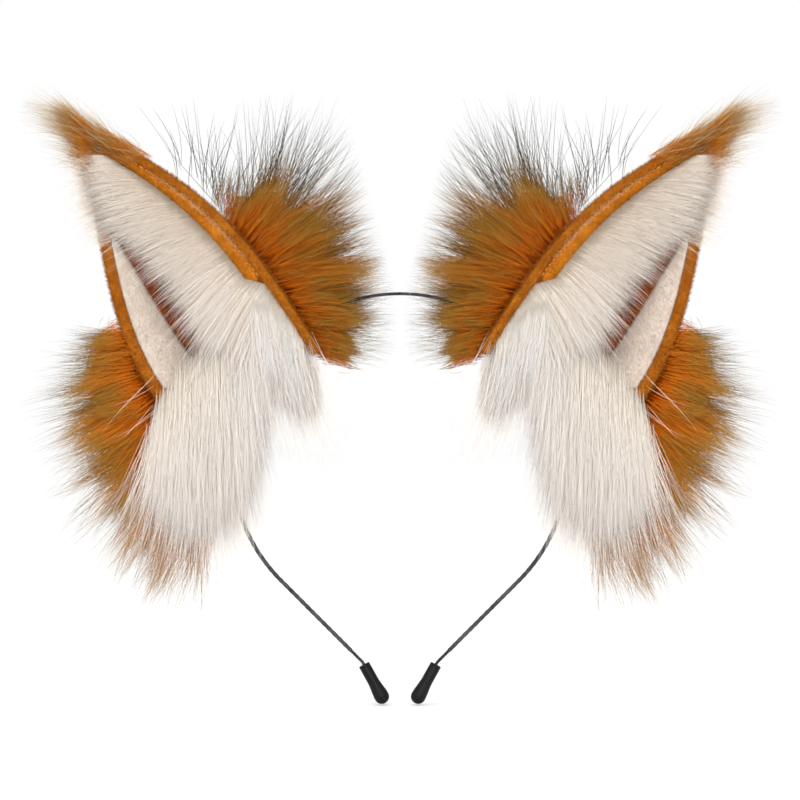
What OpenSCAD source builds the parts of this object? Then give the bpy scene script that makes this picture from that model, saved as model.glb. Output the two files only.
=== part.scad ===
// Fox ear headband: a sprung wire band with capped ends, and two cupped plush ears
// that are sewn on it between tufts of long-pile fur.
// Front faces -Y, +X is the right of the front view and +Z is up.
// The origin is the underside of the wire at the crown, where the band sits on a head.

/* [Band] */
// Diameter of the spring wire
wire_d = 1.2; // [0.8:0.1:2]
// Radius of the loop to the wire's centre line
loop_r = 64; // [56:1:78]
// Angle from the crown at which the straight leg begins
arc_end = 135; // [125:1:140]
// Length of the straight leg
leg_length = 43.2; // [30:0.2:55]
// Angle from the crown of the flexing zone at each side of it
crown_flex = 7; // [5:1:8]
// Angle from the crown of the flexing zone behind each ear
leg_flex = 97.5; // [90:0.5:105]
// Gap in the wire at a flexing zone
flex_gap = 0.3; // [0.3:0.05:0.6]

/* [End caps] */
// Length of a rubber end cap
cap_length = 16.8; // [12:0.2:22]
// Diameter of the cap's barrel
cap_d = 4.4; // [3.6:0.1:6]
// Diameter of the ball at the cap's end
cap_ball_d = 5.7; // [4.6:0.1:8]
// Angle between the cap's axis and the vertical
cap_tilt = 29; // [25:1:40]
// Depth to which the wire is pushed into the cap
cap_hold = 7; // [5:0.5:10]

/* [Thread wrapping] */
// Thickness of the thread wound on the wire
wrap_wall = 0.2; // [0.1:0.01:0.5]
// Angle from the crown where the wrapping begins
wrap_start = 26; // [22:1:34]
// Length of straight leg that is wrapped
wrap_on_leg = 38; // [4:0.5:41]

/* [Ears] */
// Height of an ear from the middle of its base to its tip
ear_height = 104; // [85:1:125]
// Outward lean of an ear from the vertical
ear_lean = 32; // [26:1:36]
// Depth of the cup behind the rims
ear_depth = 20; // [14:1:22]
// Distance of the inner rim's tail inside the loop
tail_drop = 13; // [8:1:16]
// Distance of the outer base corner outside the loop
corner_reach = 31; // [24:1:38]
// Thickness of the outer plush
shell_wall = 1.6; // [1:0.1:2]
// Thickness of the felt stiffener
stiffener_wall = 1; // [0.6:0.1:1.2]
// Thickness of the inner plush
lining_wall = 1.3; // [0.8:0.1:1.6]
// Width of the plush rim at the inner edge
inner_rim_w = 8.5; // [6:0.5:10]
// Width of the plush rim at the outer edge
outer_rim_w = 5.2; // [4:0.2:7]
// Thickness of both plush rims
rim_wall = 1.6; // [1:0.1:2]
// Width of the white strip inside the outer rim, at the ear's base
strip_w = 14; // [8:0.5:17]
// Length of a stitch in the inner rim's seam
stitch_length = 3; // [2:0.5:4]

/* [Base pads] */
// Angle from the crown where the felt pads begin
pad_from = 38; // [37:1:42]
// Angle from the crown where the felt pads end
pad_to = 70; // [60:1:75]
// Thickness of a felt pad
pad_wall = 1.4; // [1:0.1:1.8]
// Reach of the pads in front of the wire
pad_front = 4.5; // [3:0.5:5]
// Reach of the pads behind the wire
pad_back = 8; // [5:0.5:10]
// Diameter of the sewing thread
thread_d = 0.6; // [0.4:0.1:0.8]

/* [Fur] */
// Length of every fur tuft as a share of its drawn length
fur_length = 1; // [0.8:0.05:1.1]
// Clearance between a fur tuft and the wrapped wire
fur_gap = 0.4; // [0.3:0.1:0.8]

/* [Hidden] */
$fn = 48;

rust = [0.72, 0.40, 0.10];
amber = [0.66, 0.43, 0.16];
cream = [0.93, 0.89, 0.83];
cocoa = [0.42, 0.22, 0.10];
soot = [0.07, 0.07, 0.08];
steel = [0.28, 0.28, 0.29];
felt_grey = [0.55, 0.50, 0.45];

fit = 0.02;            // slack between the wire and what is wound or pushed on it
layer_gap = 0.25;      // slack between two sewn layers
bend_r = 5;            // radius of the last bend, from the leg into the cap
sleeve_r = wire_d / 2 + fit + wrap_wall;
loop_z = wire_d / 2 - loop_r;
flex_turn = flex_gap / 2 / loop_r * 180 / PI;
wrap_clear = 1;        // angle that the wrapping keeps from a flexing zone
leg_turn = arc_end + 90;
bend = arc_end - 90 - cap_tilt;

// ---- lines and surfaces ----

function mix(a, b, t) = a + (b - a) * t;
function on_loop(turn, r = loop_r, y = 0) = [r * sin(turn), y, loop_z + r * cos(turn)];
function bezier(p, t) =
    pow(1 - t, 3) * p[0] + 3 * t * pow(1 - t, 2) * p[1] + 3 * t * t * (1 - t) * p[2] + pow(t, 3) * p[3];

// The two edges of an ear in the front view, each from its base to the tip.
// The inner edge starts at a tail inside the loop, and the shell starts shell_start along it.
shell_start = 0.13;
ear_scale = ear_height / 104;
tail_end = on_loop(36, loop_r - tail_drop);
outer_corner = on_loop(75.7, loop_r + corner_reach);
ear_base = mix(on_loop(34.5, loop_r + 3), outer_corner, 0.5);
ear_tip = ear_base + ear_height * [sin(ear_lean), 0, cos(ear_lean)];
inner_edge = [tail_end, tail_end + ear_scale * [26, 0, 41], ear_tip - ear_scale * [53, 0, 26], ear_tip];
outer_edge = [outer_corner, outer_corner + ear_scale * [18, 0, 24], ear_tip - ear_scale * [6, 0, 44], ear_tip];
inner_edge_y = -7;
outer_edge_y = -1;
base_sag = 5;          // how far the middle of the base dips towards the wire
shell_top = 0.93;      // share of the height at which the shell is gathered under the tip fur

function inner_at(v) = bezier(inner_edge, mix(shell_start, 1, v));
function outer_at(v) = bezier(outer_edge, v);
function ear_width(v) = norm(outer_at(v) - inner_at(v));
function from_inner(v, w) = min(w * 2 / ear_width(v), 1) - 1;
function from_outer(v, w) = 1 - min(w * 2 / ear_width(v), 0.7);

// A point of the cup: u runs from -1 at the inner edge to 1 at the outer edge, v from base to tip.
// Layers are stacked along Y, and back is how far behind the middle surface a layer's face is.
function ear_at(u, v, back) =
    mix(inner_at(v), outer_at(v), (u + 1) / 2)
    + base_sag * pow((1 - v) * (1 - u * u), 2) * [-0.855, 0, -0.518]
    + [0, mix(inner_edge_y, outer_edge_y, (u + 1) / 2) * (1 - v)
        + ear_depth * pow(max(1 - v, 0), 0.8) * pow(cos(90 * u), 3) + back, 0];

function stations(list, steps) = [
    for (i = [0 : len(list) - 2], j = [0 : steps - 1])
        let (t = j / steps, a = list[max(i - 1, 0)], b = list[i], c = list[i + 1],
             d = list[min(i + 2, len(list) - 1)])
        0.5 * (2 * b + (c - a) * t + (2 * a - 5 * b + 4 * c - d) * t * t
            + (3 * b - a - 3 * c + d) * t * t * t),
    list[len(list) - 1]
];

// ---- shared shapes ----

module one_side(side) {
    mirror([side < 0 ? 1 : 0, 0, 0]) children();
}

// Turns a flat profile round the loop's centre, between two angles from the crown.
module round_loop(from, to) {
    translate([0, 0, loop_z]) rotate([-90, 0, 0]) rotate([0, 0, from - 90])
        rotate_extrude(angle = to - from, $fn = 180) children();
}

module leg_frame() {
    translate(on_loop(arc_end)) rotate([0, leg_turn, 0]) children();
}

module cap_frame() {
    leg_frame()
        translate([-bend_r * (1 - cos(bend)), 0, leg_length + bend_r * sin(bend)])
            rotate([0, -bend, 0]) children();
}

module wire_profile() {
    translate([loop_r, 0]) circle(d = wire_d);
}

module wrap_profile() {
    translate([loop_r, 0]) difference() {
        circle(r = sleeve_r);
        circle(d = wire_d + 2 * fit);
    }
}

module rod(from, to, d) {
    way = to - from;
    translate(from)
        rotate([0, acos(way[2] / norm(way)), atan2(way[1], way[0])])
            cylinder(h = norm(way), d = d, $fn = 16);
}

// A closed sheet of the cup between two faces, limited by u_low(v) and u_high(v).
// A face is given as a function of u and v that returns its point.
module sheet(u_low, u_high, v_from, v_to, back_face, front_face, across, along) {
    size = (across + 1) * (along + 1);
    grid = [for (j = [0 : along], i = [0 : across])
        let (v = mix(v_from, v_to, j / along)) [mix(u_low(v), u_high(v), i / across), v]];
    function at(i, j, face) = face * size + j * (across + 1) + i;
    function strip(a, b, c, d) = [[a, b, c], [a, c, d]];
    skins = [for (j = [0 : along - 1], i = [0 : across - 1])
        each concat(
            strip(at(i, j, 0), at(i + 1, j, 0), at(i + 1, j + 1, 0), at(i, j + 1, 0)),
            strip(at(i, j, 1), at(i, j + 1, 1), at(i + 1, j + 1, 1), at(i + 1, j, 1)))];
    ends = [for (i = [0 : across - 1])
        each concat(
            strip(at(i + 1, 0, 0), at(i, 0, 0), at(i, 0, 1), at(i + 1, 0, 1)),
            strip(at(i, along, 0), at(i + 1, along, 0), at(i + 1, along, 1), at(i, along, 1)))];
    sides = [for (j = [0 : along - 1])
        each concat(
            strip(at(0, j, 0), at(0, j + 1, 0), at(0, j + 1, 1), at(0, j, 1)),
            strip(at(across, j + 1, 0), at(across, j, 0), at(across, j, 1), at(across, j + 1, 1)))];
    polyhedron(
        points = concat([for (p = grid) back_face(p[0], p[1])], [for (p = grid) front_face(p[0], p[1])]),
        faces = concat(skins, ends, sides), convexity = 6);
}

// A round tube in the plane of the band. Each stop is [middle, unit vector across the tube].
module tube(stops, r) {
    sides = 16;
    rings = len(stops);
    points = [for (stop = stops, k = [0 : sides - 1])
        let (turn = 360 * k / sides) stop[0] + r * (cos(turn) * stop[1] + sin(turn) * [0, 1, 0])];
    polyhedron(points = points, faces = ring_faces(rings, sides), convexity = 4);
}

// Faces of a closed tube of rings, from the first ring to the last.
function ring_faces(rings, sides) = concat(
    [for (j = [0 : rings - 2], k = [0 : sides - 1])
        let (a = j * sides + k, b = j * sides + (k + 1) % sides)
        each [[a, b + sides, b], [a, a + sides, b + sides]]],
    [[for (k = [0 : sides - 1]) k], [for (k = [sides - 1 : -1 : 0]) (rings - 1) * sides + k]]);

function layer(back) = function(u, v) ear_at(u, v, back);

// A tuft is an oval that grows and shrinks along its way. Each row is [outward, back, up] of its
// middle, from the middle of the ear's base, then its half width and its half depth.
module tuft(rows, aim) {
    sides = 14;
    across = [cos(aim), 0, -sin(aim)];
    first = [rows[0][0], rows[0][1], rows[0][2]];
    path = stations(rows, 3);
    points = [for (row = path, k = [0 : sides - 1])
        let (turn = 360 * k / sides, middle = [row[0], row[1], row[2]])
        ear_base + first + fur_length * (middle - first)
            + row[3] * cos(turn) * across + row[4] * sin(turn) * [0, 1, 0]];
    polyhedron(points = points, faces = ring_faces(len(path), sides), convexity = 4);
}

module wire_channel() {
    round_loop(wrap_start - 25, arc_end) translate([loop_r, 0]) circle(r = sleeve_r + fur_gap, $fn = 24);
}

// ---- band ----

module crown_wire() {
    color(steel)
        round_loop(-crown_flex + flex_turn, crown_flex - flex_turn) wire_profile();
}

module arc_wire() {
    color(steel)
        round_loop(crown_flex + flex_turn, leg_flex - flex_turn) wire_profile();
}

module leg_wire() {
    arc_steps = 14;
    bend_steps = 4;
    function heading(turn) = [sin(turn), 0, cos(turn)];
    function abreast(turn) = [cos(turn), 0, -sin(turn)];
    leg_end = on_loop(arc_end) + leg_length * heading(leg_turn);
    arc = [for (i = [0 : arc_steps])
        let (turn = mix(leg_flex + flex_turn, arc_end, i / arc_steps)) [on_loop(turn), turn + 90]];
    last_bend = [for (i = [0 : bend_steps])
        let (t = bend * i / bend_steps)
        [leg_end + bend_r * (sin(t) * heading(leg_turn) - (1 - cos(t)) * abreast(leg_turn)), leg_turn - t]];
    tail = last_bend[bend_steps];
    route = concat(arc, last_bend, [[tail[0] + cap_hold * heading(tail[1]), tail[1]]]);
    color(steel) tube([for (stop = route) [stop[0], abreast(stop[1])]], wire_d / 2);
}

module arc_wrap() {
    color(soot)
        round_loop(wrap_start, leg_flex - wrap_clear) wrap_profile();
}

module leg_wrap() {
    color(soot) union() {
        round_loop(leg_flex + wrap_clear, arc_end) wrap_profile();
        leg_frame() difference() {
            cylinder(h = wrap_on_leg, r = sleeve_r);
            translate([0, 0, -1]) cylinder(h = wrap_on_leg + 2, d = wire_d + 2 * fit);
        }
    }
}

// The cap flares from its barrel to a ball, and is bored for the wire.
module end_cap() {
    mouth = 0.3;
    ball_r = cap_ball_d / 2;
    ball_z = cap_length - ball_r;
    flare_z = cap_length * 0.4;
    flare = [for (i = [0 : 6])
        [mix(cap_d / 2, ball_r, (1 - cos(30 * i)) / 2), mix(flare_z, ball_z, i / 6)]];
    ball = [for (i = [1 : 9]) [ball_r * cos(10 * i), ball_z + ball_r * sin(10 * i)]];
    color(soot) cap_frame() translate([0, 0, mouth]) difference() {
        rotate_extrude()
            polygon(concat([[0, 0], [cap_d / 2 - 0.3, 0], [cap_d / 2, 0.3]], flare, ball));
        translate([0, 0, -1]) cylinder(h = cap_hold + 1, d = wire_d + 2 * fit);
    }
}

// ---- base pads ----

module pad(r_low) {
    round_loop(pad_from, pad_to)
        translate([r_low, -pad_front]) square([pad_wall, pad_front + pad_back]);
}

module upper_pad() {
    color(felt_grey) pad(loop_r + sleeve_r + fit);
}

module under_pad() {
    color(felt_grey) pad(loop_r - sleeve_r - fit - pad_wall);
}

// Whip stitches that bind the pads' front and back edges across the wire.
module pad_stitches() {
    stitches = 7;
    reach = sleeve_r + fit + pad_wall + thread_d / 2;
    color(soot)
        for (i = [0 : stitches - 1], y = [-pad_front - thread_d / 2 - fit, pad_back + thread_d / 2 + fit])
            let (turn = mix(pad_from + 2, pad_to - 2, i / (stitches - 1)))
            rod(on_loop(turn, loop_r - reach, y), on_loop(turn, loop_r + reach, y), thread_d);
}

// ---- ears ----

stiffener_back = layer_gap + stiffener_wall;
shell_front = stiffener_back + layer_gap;
rim_back = -lining_wall - layer_gap;

module ear_shell() {
    color(rust) sheet(function(v) -1, function(v) 1, 0, shell_top,
        layer(shell_front + shell_wall), layer(shell_front), 14, 18);
}

module ear_stiffener() {
    color(felt_grey) sheet(function(v) -0.9, function(v) 0.9, 0.02, 0.88,
        layer(stiffener_back), layer(layer_gap), 12, 14);
}

module ear_lining() {
    color(cocoa) sheet(function(v) -0.96, function(v) 0.96, 0.01, 0.9,
        layer(0), layer(-lining_wall), 14, 16);
}

module inner_rim() {
    color(rust) sheet(function(v) -1, function(v) from_inner(v, inner_rim_w),
        -shell_start / (1 - shell_start), shell_top,
        layer(rim_back), layer(rim_back - rim_wall), 3, 22);
}

module outer_rim() {
    color(rust) sheet(function(v) from_outer(v, outer_rim_w), function(v) 1,
        0, shell_top, layer(rim_back), layer(rim_back - rim_wall), 2, 18);
}

strip_top = 0.67;       // share of the height at which the white strip runs out
strip_start = outer_rim_w + 0.5;
function strip_end(v) = strip_start + strip_w * (1 - pow(v / strip_top, 2));

module white_strip() {
    color(cream) sheet(function(v) from_outer(v, strip_end(v)), function(v) from_outer(v, strip_start),
        0.06, strip_top - 0.04, layer(rim_back), layer(rim_back - rim_wall), 3, 14);
}

module rim_stitches() {
    stitches = 16;
    surface = rim_back - rim_wall - thread_d / 2 - fit;
    color(rust) for (i = [0 : stitches - 1])
        let (v = mix(0.1, 0.8, i / (stitches - 1)), u = from_inner(v, inner_rim_w / 2),
             middle = ear_at(u, v, surface), way = ear_at(u, v + 0.01, surface) - middle)
        rod(middle, middle + way / norm(way) * stitch_length, thread_d);
}

// ---- fur ----

inner_fur_front = -7.5; // how far forward the inner fur comes at the ear's base

module inner_fur() {
    function beside_strip(v) = from_outer(v, max(strip_end(v), strip_start) + 1);
    color(cream) sheet(function(v) from_inner(v, inner_rim_w + 1),
        function(v) min(mix(0.05, 0.5, v), beside_strip(v)),
        0.16, 0.84, layer(rim_back),
        function(u, v) let (p = ear_at(u, v, rim_back - 1))
            [p[0], min(p[1], inner_fur_front * (1 - v) - 2), p[2]],
        8, 12);
}

module front_fur() {
    color(cream) tuft([
        [-5, -13, 23, 12, 2.5], [-3, -15, 8, 27, 5.5], [-2, -17, -11, 32, 7.5], [0, -18, -31, 30, 8],
        [3, -18, -51, 24, 7.5], [6, -17, -71, 16, 6], [8, -15, -89, 5, 2]], 180);
}

module crown_fur() {
    color(amber) difference() {
        tuft([
            [-25, 5, 24, 20, 4], [-31, 6, 32, 28, 9], [-37, 6, 41, 29, 11],
            [-41, 5, 51, 23, 9], [-45, 4, 58, 14, 5], [-48, 3, 64, 4, 2]], -56);
        wire_channel();
    }
}

module outer_fur() {
    color(amber) tuft([
        [47, 8, 20, 4, 3], [51, 9, 4, 11, 8], [48, 10, -16, 17, 11], [43, 10, -36, 20, 12],
        [37, 9, -56, 17, 10], [30, 7, -74, 11, 7], [25, 5, -88, 3, 2]], 180);
}

module back_fur() {
    color(amber) tuft([
        [-3, 30, 18, 22, 3], [-3, 30, 2, 28, 5.5], [-1, 26, -18, 27, 8],
        [3, 20, -36, 20, 7], [7, 14, -54, 9, 3]], 180);
}

// The tip fur grows out of the gathered end of the ear.
module tip_fur() {
    start = ear_tip - ear_base;
    rows = [[-2.5, -1, -4.2, 4, 3], [4, 0, 1.5, 10, 6], [10, 0, 5.5, 9, 5.5],
        [17, 0, 10, 5.5, 3.5], [24, 0, 14.5, 1.2, 1]];
    color(amber)
        tuft([for (row = rows) [start[0] + row[0], row[1], start[2] + row[2], row[3], row[4]]], 60);
}

crown_wire();
one_side(-1) arc_wire();  // left_arc_wire
one_side(1) arc_wire();  // right_arc_wire
one_side(-1) leg_wire();  // left_leg_wire
one_side(1) leg_wire();  // right_leg_wire
one_side(-1) arc_wrap();  // left_arc_wrap
one_side(1) arc_wrap();  // right_arc_wrap
one_side(-1) leg_wrap();  // left_leg_wrap
one_side(1) leg_wrap();  // right_leg_wrap
one_side(-1) end_cap();  // left_end_cap
one_side(1) end_cap();  // right_end_cap
one_side(-1) upper_pad();  // left_upper_pad
one_side(1) upper_pad();  // right_upper_pad
one_side(-1) under_pad();  // left_under_pad
one_side(1) under_pad();  // right_under_pad
one_side(-1) pad_stitches();  // left_pad_stitches
one_side(1) pad_stitches();  // right_pad_stitches
one_side(-1) ear_shell();  // left_ear_shell
one_side(1) ear_shell();  // right_ear_shell
one_side(-1) ear_stiffener();  // left_ear_stiffener
one_side(1) ear_stiffener();  // right_ear_stiffener
one_side(-1) ear_lining();  // left_ear_lining
one_side(1) ear_lining();  // right_ear_lining
one_side(-1) inner_rim();  // left_inner_rim
one_side(1) inner_rim();  // right_inner_rim
one_side(-1) outer_rim();  // left_outer_rim
one_side(1) outer_rim();  // right_outer_rim
one_side(-1) rim_stitches();  // left_rim_stitches
one_side(1) rim_stitches();  // right_rim_stitches
one_side(-1) white_strip();  // left_white_strip
one_side(1) white_strip();  // right_white_strip
one_side(-1) inner_fur();  // left_inner_fur
one_side(1) inner_fur();  // right_inner_fur
one_side(-1) front_fur();  // left_front_fur
one_side(1) front_fur();  // right_front_fur
one_side(-1) crown_fur();  // left_crown_fur
one_side(1) crown_fur();  // right_crown_fur
one_side(-1) outer_fur();  // left_outer_fur
one_side(1) outer_fur();  // right_outer_fur
one_side(-1) back_fur();  // left_back_fur
one_side(1) back_fur();  // right_back_fur
one_side(-1) tip_fur();  // left_tip_fur
one_side(1) tip_fur();  // right_tip_fur
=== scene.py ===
"""Fox ear headband: the looks of the band, the plush ears and their fur.

Shapes are worked out for the right side in millimetres and mirrored for the left.
An ear's cup has two edges in the front view; u runs across it from -1 at the inner edge
(towards the crown) to 1 at the outer edge, and v runs from the base to the tip.
"""

import math

import bpy
import numpy as np
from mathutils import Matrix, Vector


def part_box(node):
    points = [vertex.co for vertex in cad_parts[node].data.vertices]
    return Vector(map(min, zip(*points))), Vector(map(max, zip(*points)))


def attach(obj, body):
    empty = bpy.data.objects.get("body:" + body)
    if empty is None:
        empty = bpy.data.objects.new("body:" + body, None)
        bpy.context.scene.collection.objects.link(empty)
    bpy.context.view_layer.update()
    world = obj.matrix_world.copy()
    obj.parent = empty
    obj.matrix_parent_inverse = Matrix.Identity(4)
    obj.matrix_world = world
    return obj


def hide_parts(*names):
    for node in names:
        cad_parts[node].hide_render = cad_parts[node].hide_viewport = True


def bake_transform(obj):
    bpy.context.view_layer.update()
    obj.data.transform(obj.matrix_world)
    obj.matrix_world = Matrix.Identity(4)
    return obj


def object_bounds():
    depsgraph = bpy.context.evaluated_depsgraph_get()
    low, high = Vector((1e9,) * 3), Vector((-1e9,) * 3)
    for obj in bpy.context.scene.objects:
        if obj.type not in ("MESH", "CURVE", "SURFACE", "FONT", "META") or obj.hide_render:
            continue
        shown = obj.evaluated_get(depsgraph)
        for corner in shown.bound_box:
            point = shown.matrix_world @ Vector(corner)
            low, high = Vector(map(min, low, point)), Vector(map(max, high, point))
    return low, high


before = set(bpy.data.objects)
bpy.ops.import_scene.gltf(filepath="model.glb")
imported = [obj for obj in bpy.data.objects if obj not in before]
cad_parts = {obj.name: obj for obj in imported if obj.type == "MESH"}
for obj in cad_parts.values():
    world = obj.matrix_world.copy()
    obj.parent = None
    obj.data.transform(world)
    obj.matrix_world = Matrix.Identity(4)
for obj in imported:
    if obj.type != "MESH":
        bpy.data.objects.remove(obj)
cad_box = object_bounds()

MM = 0.001

# ---- sizes from the frame ----

wire_low, wire_high = (np.array(corner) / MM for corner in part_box("right_arc_wire"))
wire_r = (wire_high[1] - wire_low[1]) / 2
loop_r = wire_high[0] - wire_r
loop_z = wire_r - loop_r
object_low, object_high = (np.array(corner) / MM for corner in cad_box)

# ---- driving sizes of the band, as on the CAD part ----

CROWN_FLEX = 7
SPREAD_TILT = 15
LEG_FLEX = 97.5
ARC_END = 135
LEG_LENGTH = 43.2
BEND_R = 5
CAP_TILT = 29
CAP_HOLD = 7
CAP_LENGTH = 16.8
CAP_R = 2.2
CAP_BALL_R = 2.85
CAP_MOUTH = 0.3
WRAP_START = 26
WRAP_ON_LEG = 38
WRAP_R = 0.82
THREAD_PITCH = 2.9
WIRE_JOIN = 80
WIRE_SIDES = 16
LEG_AIM = ARC_END + 90
LAST_BEND = ARC_END - 90 - CAP_TILT

# ---- driving sizes of an ear, as on the CAD part ----

EAR_HEIGHT = 104
EAR_LEAN = 32
EAR_DEPTH = 20
TAIL_DROP = 13
CORNER_REACH = 31
SHELL_START = 0.13
INNER_EDGE_Y = -7
OUTER_EDGE_Y = -1
BASE_SAG = 5
INNER_FOLD_W = 3.9
INNER_FACING_W = 4.4
FACING_END = 0.18
OUTER_RIM_W = 4.8
STRIP_W = 14
STRIP_TOP = 0.67
RIM_STITCHES = 30
STITCH_R = 0.2
STITCH_RISE = 0.5


# ---- lines and surfaces ----

BACKWARD = np.array([0, 1, 0])


def on_loop(turn, r=None, y=0.0):
    """A point of the band's loop at an angle from the crown, in degrees."""
    turn = np.radians(turn)
    r = loop_r if r is None else r
    return np.stack([r * np.sin(turn), y + 0 * turn, loop_z + r * np.cos(turn)], -1)


def heading(aim):
    """The unit vector at an angle from straight up towards the outside, in the front view."""
    aim = np.radians(aim)
    return np.stack([np.sin(aim), 0 * aim, np.cos(aim)], -1)


def unit(vectors):
    return vectors / np.maximum(np.linalg.norm(vectors, axis=-1, keepdims=True), 1e-9)


def mix(a, b, t):
    return a + (b - a) * t


def bezier(points, t):
    t = np.asarray(t, float)[..., None]
    a, b, c, d = (np.asarray(p, float) for p in points)
    return (1 - t) ** 3 * a + 3 * t * (1 - t) ** 2 * b + 3 * t * t * (1 - t) * c + t ** 3 * d


tail_end = on_loop(36, loop_r - TAIL_DROP)
outer_corner = on_loop(75.7, loop_r + CORNER_REACH)
ear_base = mix(on_loop(34.5, loop_r + 3), outer_corner, 0.5)
ear_tip = ear_base + EAR_HEIGHT * heading(EAR_LEAN)
INNER_EDGE = [tail_end, tail_end + [26, 0, 41], ear_tip - [53, 0, 26], ear_tip]
OUTER_EDGE = [outer_corner, outer_corner + [18, 0, 24], ear_tip - [6, 0, 44], ear_tip]


def inner_at(v):
    return bezier(INNER_EDGE, mix(SHELL_START, 1, np.asarray(v, float)))


def outer_at(v):
    return bezier(OUTER_EDGE, v)


def ear_width(v):
    return np.linalg.norm(outer_at(v) - inner_at(v), axis=-1)


def from_inner(v, w):
    return np.minimum(w * 2 / ear_width(v), 1) - 1


def from_outer(v, w):
    return 1 - np.minimum(w * 2 / ear_width(v), 0.7)


def ear_at(u, v, back=0.0):
    """A point of the cup, back millimetres behind its middle surface."""
    u, v = np.broadcast_arrays(np.asarray(u, float), np.asarray(v, float))
    point = mix(inner_at(v), outer_at(v), (u[..., None] + 1) / 2)
    sag = BASE_SAG * ((1 - v) * np.maximum(1 - u * u, 0)) ** 2
    point = point + sag[..., None] * np.array([-0.855, 0, -0.518])
    depth = EAR_DEPTH * np.maximum(1 - v, 0) ** 0.8 * np.maximum(np.cos(np.pi / 2 * u), 0) ** 3
    point[..., 1] += mix(INNER_EDGE_Y, OUTER_EDGE_Y, (u + 1) / 2) * (1 - v) + depth + back
    return point


# ---- meshes ----

def two_sides(name, solid, finish, bodies, replaces=(), uv=None, blend=None):
    """Makes a piece for the right side and its mirror image for the left.
    solid is its points, quads and triangles."""
    points, *right_faces = solid
    for side, sign in (("right", 1), ("left", -1)):
        mirror = np.array([sign, 1, 1])
        faces, corner_uv = right_faces, uv
        if sign < 0:
            faces = [block[:, ::-1] for block in faces]
            corner_uv = uv and [block[:, ::-1] for block in uv]
        piece = mesh_piece(f"{side}_{name}", points * mirror * MM, faces, corner_uv, finish)
        if replaces:
            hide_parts(*[f"{side}_{node}" for node in replaces])
        names = [body if body == "crown" else f"{side}_{body}" for body in bodies]
        if blend is None:
            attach(piece, names[0])
        else:
            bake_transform(piece)


def mesh_piece(name, co, faces, uv, finish):
    mesh = bpy.data.meshes.new(name)
    mesh.vertices.add(len(co))
    mesh.vertices.foreach_set("co", co.astype(np.float32).ravel())
    corners = np.concatenate([block.ravel() for block in faces]).astype(np.int32)
    sizes = np.concatenate([np.full(len(block), block.shape[1]) for block in faces])
    mesh.loops.add(len(corners))
    mesh.loops.foreach_set("vertex_index", corners)
    mesh.polygons.add(len(sizes))
    mesh.polygons.foreach_set("loop_start", (np.cumsum(sizes) - sizes).astype(np.int32))
    mesh.polygons.foreach_set("use_smooth", np.ones(len(sizes), bool))
    mesh.update(calc_edges=True)
    if uv is not None:
        layer = mesh.uv_layers.new(name="OFBake")
        layer.data.foreach_set("uv", np.concatenate([b.reshape(-1) for b in uv]).astype(np.float32))
    mesh.materials.append(finish)
    piece = bpy.data.objects.new(name, mesh)
    bpy.context.scene.collection.objects.link(piece)
    return piece


def ring_quads(rings, sides):
    """Quads between closed rings of points."""
    ring, side = np.meshgrid(np.arange(rings - 1), np.arange(sides), indexing="ij")
    after = (side + 1) % sides
    return np.stack([ring * sides + side, ring * sides + after,
                     (ring + 1) * sides + after, (ring + 1) * sides + side], -1).reshape(-1, 4)


def cone_tris(first, sides, point):
    """Triangles between the ring whose points start at first and one more point."""
    k = np.arange(sides)
    return np.stack([first + k, first + (k + 1) % sides, np.full(sides, point)], -1)


def loft(rings):
    """A solid through rings of points, an array of rings by sides by 3, closed on two middle points."""
    count, sides = rings.shape[:2]
    points = np.concatenate([rings.reshape(-1, 3), rings[:1].mean(1), rings[-1:].mean(1)])
    start = cone_tris(0, sides, count * sides)[:, [1, 0, 2]]
    end = cone_tris((count - 1) * sides, sides, count * sides + 1)
    return points, ring_quads(count, sides), np.concatenate([start, end])


def circle(sides, across, over):
    """Unit vectors round a path, from across towards over."""
    turn = np.arange(sides) * 2 * np.pi / sides
    return np.cos(turn)[:, None] * across[..., None, :] + np.sin(turn)[:, None] * over[..., None, :]


def tube_rings(path, across, radius, sides):
    """Rings of a tube in the plane of the band. radius is one number or rings by sides."""
    radius = np.broadcast_to(np.asarray(radius, float), (len(path), sides))
    rings = path[:, None] + radius[..., None] * circle(sides, across, BACKWARD)
    return rings[:, ::-1]


def cup_roll(low, high, v_from, v_to, back, thick, across, along, roundness, end=0.02):
    """Rings of a strip of plush that follows the cup between u = low(v) and high(v).
    Its borders are rolled, and end is the share of its length over which each end is rounded."""
    even = np.linspace(-1, 1, across + 1)
    a = mix(even, -np.cos(np.pi * (even + 1) / 2), 0.6)
    half = (1 - np.abs(a) ** roundness) ** (1 / roundness)
    a_ring = np.concatenate([a, a[-2:0:-1]])
    b_ring = np.concatenate([half, -half[-2:0:-1]])
    steps = np.linspace(0, 1, along + 1)
    v = mix(v_from, v_to, steps)[:, None]
    near_end = np.minimum(steps, 1 - steps)[:, None]
    shrink = np.sqrt(np.clip(1 - (1 - np.clip(near_end / end, 0, 1)) ** 2, 0.03, 1))
    middle, reach = (low(v) + high(v)) / 2, (high(v) - low(v)) / 2
    u = middle + reach * a_ring * mix(1, shrink, 0.6)
    return ear_at(u, np.broadcast_to(v, u.shape), back + thick / 2 * b_ring * shrink)[:, ::-1]


# ---- strands of fur ----

SIDES = 3
UV_STEP = 0.0012
LOOSE_SHARE = 0.07


def strand_faces(count, knots):
    """Faces of count strands, each of knots - 1 triangular rings and a tip."""
    rings = knots - 1
    base = (np.arange(count) * (rings * SIDES + 1))[:, None, None]
    quads = base + ring_quads(rings, SIDES)
    tris = base + np.concatenate([cone_tris((rings - 1) * SIDES, SIDES, rings * SIDES), [[0, 2, 1]]])
    return quads.reshape(-1, 4), tris.reshape(-1, 3)


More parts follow.
